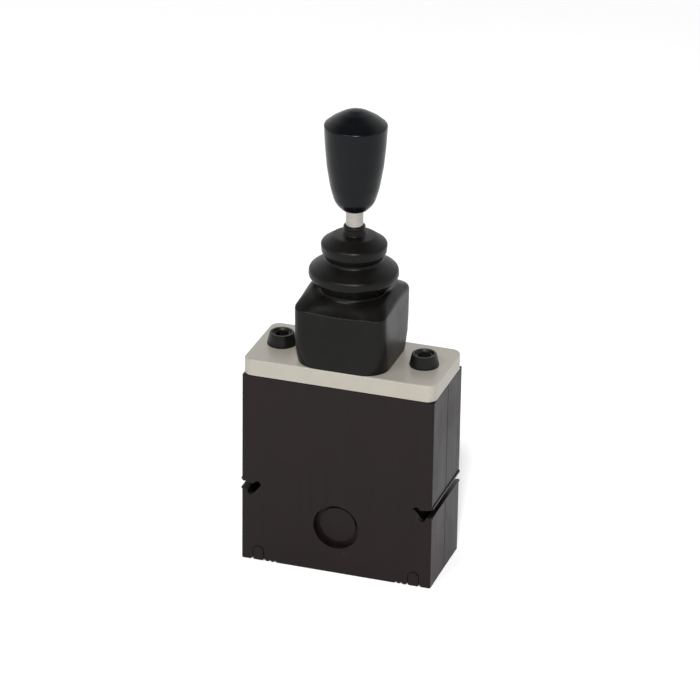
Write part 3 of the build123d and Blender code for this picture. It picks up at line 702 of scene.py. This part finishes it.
def boot_mesh():
    """Rubber boot: square foot, sloping shoulder, two bellows rings and a collar on the rod."""
    shape = bmesh.new()
    rings = []
    for front, end in boot_loops():
        ring = []
        for step in range(around):
            angle = 2 * pi * (step + 0.5) / around
            side = cos(2 * angle)
            part = eased(side + rear_softness * max(0.0, sin(angle)))
            half, corner, rise, arch = (a + (b - a) * part for a, b in zip(front, end))
            square = 1 - eased((rise - ridge_rise) / (throat_rise - ridge_rise))
            x, y = rounded_square(half, min(corner, half * nearly_round), angle)
            lift = arch * ((boot_side_arch if side > 0 else boot_front_sag) * side + boot_lean * y)
            lift += boot_brow * sin(pi * (1 - square)) * eased(side + 1)
            x *= 1 + (boot_stretch - 1) * square
            place = (x + boot_shift * square) * mm, y * mm, (boot_foot + rise + lift) * mm
            ring.append(shape.verts.new(place))
        rings.append(ring)
    skin(shape, rings)
    piece = smooth_piece(shape, "bellows_boot", "boot")
    wall = piece.modifiers.new("rubber_wall", "SOLIDIFY")
    wall.thickness = boot_wall * mm
    wall.offset = -1
    bpy.context.view_layer.update()
    final = bpy.data.meshes.new_from_object(piece.evaluated_get(bpy.context.evaluated_depsgraph_get()))
    piece.modifiers.clear()
    piece.data = final
    final.name = "bellows_boot"
    final.materials.clear()
    final.materials.append(finishes["boot"])
    for face in final.polygons:
        face.use_smooth = True
    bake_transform(piece)
    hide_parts("boot")


# ---------------------------------------------------------------- knob and rod, heights above the knob's foot
knob_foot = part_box("knob")[0][2] / mm
knob_step = 0.9           # longest step between two levels
# the knob's side from foot to crown: radius, height, rounding of that corner
knob_side = (
    (3.95, 2.0, 0.0),
    (4.3, 1.4, 0.25),
    (6.0, 2.3, 3.0),
    (8.9, 5.6, 9.0),
    (10.9, 12.4, 30.0),
    (12.55, 22.4, 60.0),
    (13.45, 31.9, 80.0),
    (14.0, 41.7, 1.1),
    (10.9, 44.3, 12.0),
    (6.0, 47.2, 9.0),
    (2.4, 48.55, 6.0),
    (0.0, 48.8, 0.0),
)
shoulder_around = 96
# the rod's shoulder inside the knob's foot: radius and height of each corner
shoulder_section = ((3.6, -0.4), (3.94, -0.4), (3.94, 2.3), (3.6, 2.3))


def knob_mesh():
    """Egg-shaped grip: rounded foot, swelling sides, soft rim and low dome."""
    outline = softened(knob_side)
    shape = bmesh.new()
    rings = []
    for first, after in zip(outline, outline[1:]):
        steps = max(1, int(dist(first, after) / knob_step))
        for step in range(steps):
            radius, rise = (a + (b - a) * step / steps for a, b in zip(first, after))
            rings.append(level_ring(shape, radius, knob_foot + rise))
    skin(shape, rings)
    crown = shape.verts.new((0, 0, (knob_foot + outline[-1][1]) * mm))
    for step in range(around):
        shape.faces.new((rings[-1][step], rings[-1][(step + 1) % around], crown))
    piece = smooth_piece(shape, "grip_knob", "knob")
    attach(piece, "lever")
    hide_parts("knob")


def rod_shoulder():
    """The bright shoulder of the rod that the knob is screwed down on."""
    shape = bmesh.new()
    rings = []
    for radius, rise in shoulder_section:
        rings.append(level_ring(shape, radius, knob_foot + rise, shoulder_around))
    skin(shape, rings + rings[:1])
    bmesh.ops.recalc_face_normals(shape, faces=shape.faces)
    piece = smooth_piece(shape, "rod_shoulder", "bright_steel")
    piece.modifiers.new("crisp_rims", "EDGE_SPLIT").split_angle = radians(40)
    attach(piece, "lever")


# ---------------------------------------------------------------- port threads
port_places = {"supply": -27.0, "work_left": -10.7, "work_right": 10.7, "return": 27.0}
port_radius = 4.3
block_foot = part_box("valve_block")[0][2] / mm
port_mouth, port_floor = block_foot + 0.8, block_foot + 9.0
thread_pitch = 1.34
thread_width = 0.9 * thread_pitch
thread_inset = 0.5        # thread starts and ends this far inside the port
thread_sink = 0.02        # ridge starts this far off the wall
turn_steps = 40           # points in one turn
run_out = 20              # points over which the ridge fades at each end
# the ridge's section: out of the wall in mm, and along the axis as a share of its width
thread_section = ((0.0, -0.42), (-0.42, -0.05), (-0.42, 0.05), (0.0, 0.42))


def port_thread(name, x):
    """The cut thread of one port, as a fine spiral ridge on its wall."""
    shape = bmesh.new()
    length = port_floor - port_mouth
    turns = length / thread_pitch
    steps = int(turns * turn_steps)
    runs = []
    for step in range(steps + 1):
        angle = 2 * pi * turns * step / steps
        z = port_mouth + thread_inset + (length - 2 * thread_inset) * step / steps
        fade = min(1, step / run_out, (steps - step) / run_out)
        run = []
        for out, up in thread_section:
            r = port_radius - thread_sink + out * fade
            place = (x + r * cos(angle)) * mm, r * sin(angle) * mm, (z + up * thread_width) * mm
            run.append(shape.verts.new(place))
        runs.append(run)
    for first, second in zip(runs, runs[1:]):
        for corner in range(len(thread_section) - 1):
            shape.faces.new((first[corner], second[corner], second[corner + 1], first[corner + 1]))
    bmesh.ops.recalc_face_normals(shape, faces=shape.faces)
    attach(smooth_piece(shape, name, "block"), "valve_body")


# ---------------------------------------------------------------- studio, in metres
def studio_floor():
    """A plain pale floor, far wider than the view."""
    shape = bmesh.new()
    cells, reach, drop = 24, 14.0, 0.0002
    marks = [reach * (2 * k / cells - 1) for k in range(cells + 1)]
    grid = [[shape.verts.new((x, y, -drop)) for x in marks] for y in marks]
    for j in range(cells):
        for i in range(cells):
            shape.faces.new((grid[j][i], grid[j][i + 1], grid[j + 1][i + 1], grid[j + 1][i]))
    mesh = bpy.data.meshes.new("studio_floor")
    shape.to_mesh(mesh)
    shape.free()
    made, tree, shader = material("floor_paper")
    grain = use(tree, "grain", Grain=700.0, Cloud=3.0)
    tone = tint(tree, grain["Cloud"], (0.90, 0.90, 0.90), (0.92, 0.92, 0.92))
    feed(
        tree,
        shader,
        Base_Color=tone,
        Roughness=0.9,
        Specular_IOR_Level=0.1,
        Emission_Color=(1.0, 1.0, 1.0, 1.0),
        Emission_Strength=0.16,
    )
    mesh.materials.append(made)
    floor = bpy.data.objects.new("studio_floor", mesh)
    bpy.context.scene.collection.objects.link(floor)


def soft_lamp(name, azimuth, elevation, distance, width, height, power):
    """A soft oval lamp that looks at the valve. Azimuth runs from the front towards the right."""
    a, e = radians(azimuth), radians(elevation)
    toward = Vector((sin(a) * cos(e), -cos(a) * cos(e), sin(e)))
    middle = Vector((0, 0, 0.1))
    light = bpy.data.lights.new(name, "AREA")
    light.shape = "ELLIPSE"
    light.size, light.size_y = width, height
    light.energy = power
    lamp = bpy.data.objects.new(name, light)
    aim = toward.to_track_quat("Z", "Y").to_matrix().to_4x4()
    lamp.matrix_world = Matrix.Translation(middle + toward * distance) @ aim
    bpy.context.scene.collection.objects.link(lamp)


def studio_light():
    """A small lamp and a wide weak one in front, and pale walls under a dim ceiling, lower in front."""
    world = bpy.data.worlds.new("studio_walls")
    world.use_nodes = True
    bpy.context.scene.world = world
    tree = world.node_tree
    way = add(tree, "SeparateXYZ", {0: add(tree, "TexCoord").outputs["Generated"]}).outputs
    height = calc(tree, "MULTIPLY_ADD", way["Y"], -0.42, way["Z"])
    ceiling = spread(tree, height, 0.30, 0.95)
    tone = tint(tree, ceiling, (1.0, 1.0, 1.0), (0.04, 0.04, 0.045))
    sky = tree.nodes["Background"]
    tree.links.new(tone, sky.inputs["Color"])
    sky.inputs["Strength"].default_value = 1.08
    soft_lamp("front_lamp", 17, 42, distance=2.6, width=0.36, height=0.36, power=60)
    soft_lamp("wide_lamp", -20, 40, distance=2.6, width=1.2, height=0.6, power=22)


studio_camera()
dress_cad_nodes()
boot_mesh()
knob_mesh()
rod_shoulder()
for label, x in port_places.items():
    port_thread(f"port_thread_{label}", x)
studio_floor()
studio_light()
